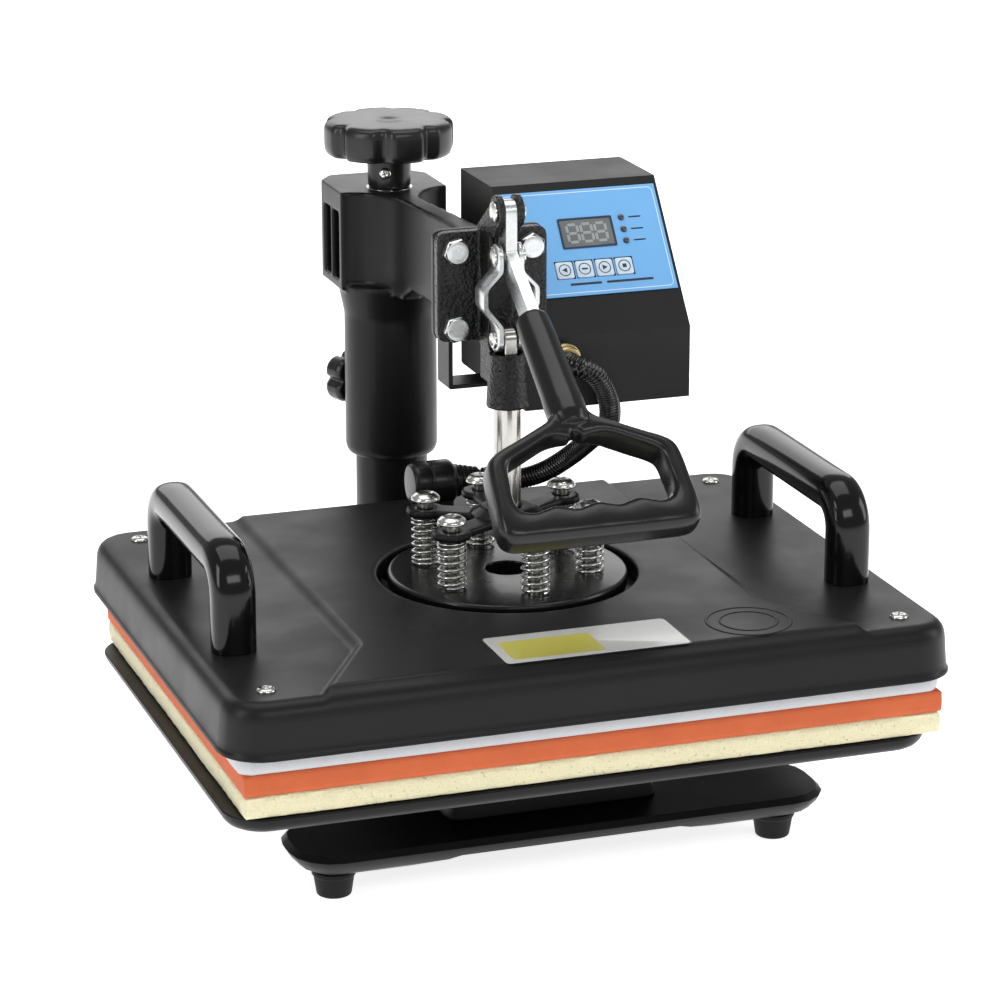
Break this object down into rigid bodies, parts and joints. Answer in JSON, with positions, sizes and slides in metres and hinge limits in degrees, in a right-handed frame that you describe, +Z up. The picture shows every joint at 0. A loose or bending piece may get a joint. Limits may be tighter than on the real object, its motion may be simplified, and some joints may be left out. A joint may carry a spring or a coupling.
{
  "type": "heat press",
  "caption": "Swing-away flatbed heat press: heated platen on a swinging arm with a toggle lever, over a padded table, with a side controller.",
  "frame": {"origin": "on the floor plane under the centre of the bounding box", "axes": "+Z up, +Y from the operator towards the post, +X along the platen's long side, towards the controller"},
  "size_m": [0.397, 0.416, 0.348],
  "materials": {
    "painted_cover": "satin baked enamel on pressed steel",
    "painted_casting": "satin black powder coat on castings and tube",
    "wrinkle_paint": "black wrinkle paint",
    "controller_paint": "matte black powder coat on sheet steel",
    "zinc": "bright zinc plate",
    "polished_steel": "ground and polished",
    "cast_aluminium": "as cast",
    "brass": "machined",
    "handle_gloss": "gloss black moulded",
    "grip_plastic": "semi-gloss black moulded",
    "knob_plastic": "satin black moulded",
    "conduit_plastic": "corrugated black tube",
    "connector_plastic": "satin black",
    "silicone": "orange silicone sponge",
    "felt": "cream needled felt",
    "release_film": "white release fabric",
    "panel_blue": "printed blue overlay",
    "key_white": "pale grey keys",
    "circuit_board": "green laminate with a dark display",
    "foot_rubber": "black rubber"
  },
  "bodies": {
    "base": {"base_frame": "painted_casting", "foot_front_left": "foot_rubber", "foot_front_right": "foot_rubber", "foot_rear_left": "foot_rubber", "foot_rear_right": "foot_rubber", "post": "painted_casting", "post_nut": "brass", "lower_table": "painted_cover", "felt_pad": "felt", "silicone_pad": "silicone"},
    "thrust_washer": {"thrust_washer": "brass"},
    "knob": {"pressure_knob": "knob_plastic", "pressure_spindle": "polished_steel"},
    "arm": {"arm_casting": "painted_casting", "clamp_bracket": "wrinkle_paint", "bracket_bolt_1": "zinc", "bracket_bolt_2": "zinc", "bracket_bolt_3": "zinc", "bracket_bolt_4": "zinc", "upper_pivot_pin": "zinc", "controller_shell": "controller_paint", "controller_back_plate": "controller_paint", "mains_inlet": "handle_gloss", "controller_strap": "controller_paint", "cable_gland": "brass", "heater_conduit": "conduit_plastic", "panel_overlay": "panel_blue", "control_board": "circuit_board"},
    "lock_knob": {"lock_knob": "knob_plastic"},
    "rocker": {"power_rocker": "handle_gloss"},
    "lever": {"lever_bar": "zinc", "hand_grip": "grip_plastic", "link_pin": "zinc"},
    "link": {"link_left": "zinc", "link_right": "zinc"},
    "platen": {"heat_cover": "painted_cover", "heating_plate": "cast_aluminium", "release_film": "release_film", "spring_disc": "painted_cover", "side_handle_left": "handle_gloss", "side_handle_right": "handle_gloss", "heater_connector": "connector_plastic", "spring_screw_1": "zinc", "spring_screw_2": "zinc", "spring_screw_3": "zinc", "spring_screw_4": "zinc", "spring_screw_5": "zinc", "spring_screw_6": "zinc", "spring_1": "zinc", "spring_2": "zinc", "spring_3": "zinc", "spring_4": "zinc", "spring_5": "zinc", "spring_6": "zinc"},
    "plunger": {"plunger_rod": "polished_steel", "spider_plate": "painted_casting"},
    "key_1": {"panel_key_1": "key_white"},
    "key_2": {"panel_key_2": "key_white"},
    "key_3": {"panel_key_3": "key_white"},
    "key_4": {"panel_key_4": "key_white"}
  },
  "joints": [
    {"name": "arm_height", "type": "slide", "parent": "base", "child": "thrust_washer", "axis": [0, 0, 1], "range_m": [0, 0.01]},
    {"name": "pressure_knob_turn", "type": "hinge", "parent": "thrust_washer", "child": "knob", "pos_m": [0, 0.154, 0.3], "axis": [0, 0, 1], "range_deg": [0, 1800]},
    {"name": "arm_swing", "type": "hinge", "parent": "thrust_washer", "child": "arm", "pos_m": [0, 0.154, 0.25], "axis": [0, 0, 1], "continuous": true},
    {"name": "handle_lever", "type": "hinge", "parent": "arm", "child": "lever", "pos_m": [0, -0.053, 0.337], "axis": [-1, 0, 0], "range_deg": [0, 90]},
    {"name": "link_swing", "type": "hinge", "parent": "lever", "child": "link", "pos_m": [0, -0.053, 0.313], "axis": [1, 0, 0], "range_deg": [0, 122.3]},
    {"name": "platen_lift", "type": "slide", "parent": "arm", "child": "platen", "axis": [0, 0, 1], "range_m": [0, 0.027], "deforming": ["heater_conduit"]},
    {"name": "plunger_travel", "type": "slide", "parent": "platen", "child": "plunger", "axis": [0, 0, 1], "range_m": [0, 0.004], "deforming": ["spring_1", "spring_2", "spring_3", "spring_4", "spring_5", "spring_6"]},
    {"name": "lock_knob_turn", "type": "hinge", "parent": "arm", "child": "lock_knob", "pos_m": [0, 0.154, 0.186], "axis": [-0.342, 0.9397, 0], "range_deg": [0, 720]},
    {"name": "power_rocker_tilt", "type": "hinge", "parent": "arm", "child": "rocker", "pos_m": [0.092, 0.0883, 0.243], "axis": [-1, 0, 0], "range_deg": [0, 16]},
    {"name": "panel_key_1_press", "type": "slide", "parent": "arm", "child": "key_1", "axis": [0, 0.7882, -0.6154], "range_m": [0, 0.0005], "stiffness_N_per_m": 1500, "springref_m": -0.0005},
    {"name": "panel_key_2_press", "type": "slide", "parent": "arm", "child": "key_2", "axis": [0, 0.7882, -0.6154], "range_m": [0, 0.0005], "stiffness_N_per_m": 1500, "springref_m": -0.0005},
    {"name": "panel_key_3_press", "type": "slide", "parent": "arm", "child": "key_3", "axis": [0, 0.7882, -0.6154], "range_m": [0, 0.0005], "stiffness_N_per_m": 1500, "springref_m": -0.0005},
    {"name": "panel_key_4_press", "type": "slide", "parent": "arm", "child": "key_4", "axis": [0, 0.7882, -0.6154], "range_m": [0, 0.0005], "stiffness_N_per_m": 1500, "springref_m": -0.0005}
  ],
  "couplings": [
    {"joint": "pressure_knob_turn", "follows": "arm_height", "rad_per_m": 3141.6},
    {"joint": "link_swing", "follows": "handle_lever", "ratio": 1.358},
    {"joint": "platen_lift", "follows": "handle_lever", "m_per_rad": 0.01714},
    {"joint": "plunger_travel", "follows": "handle_lever", "m_per_rad": 0.00254}
  ]
}
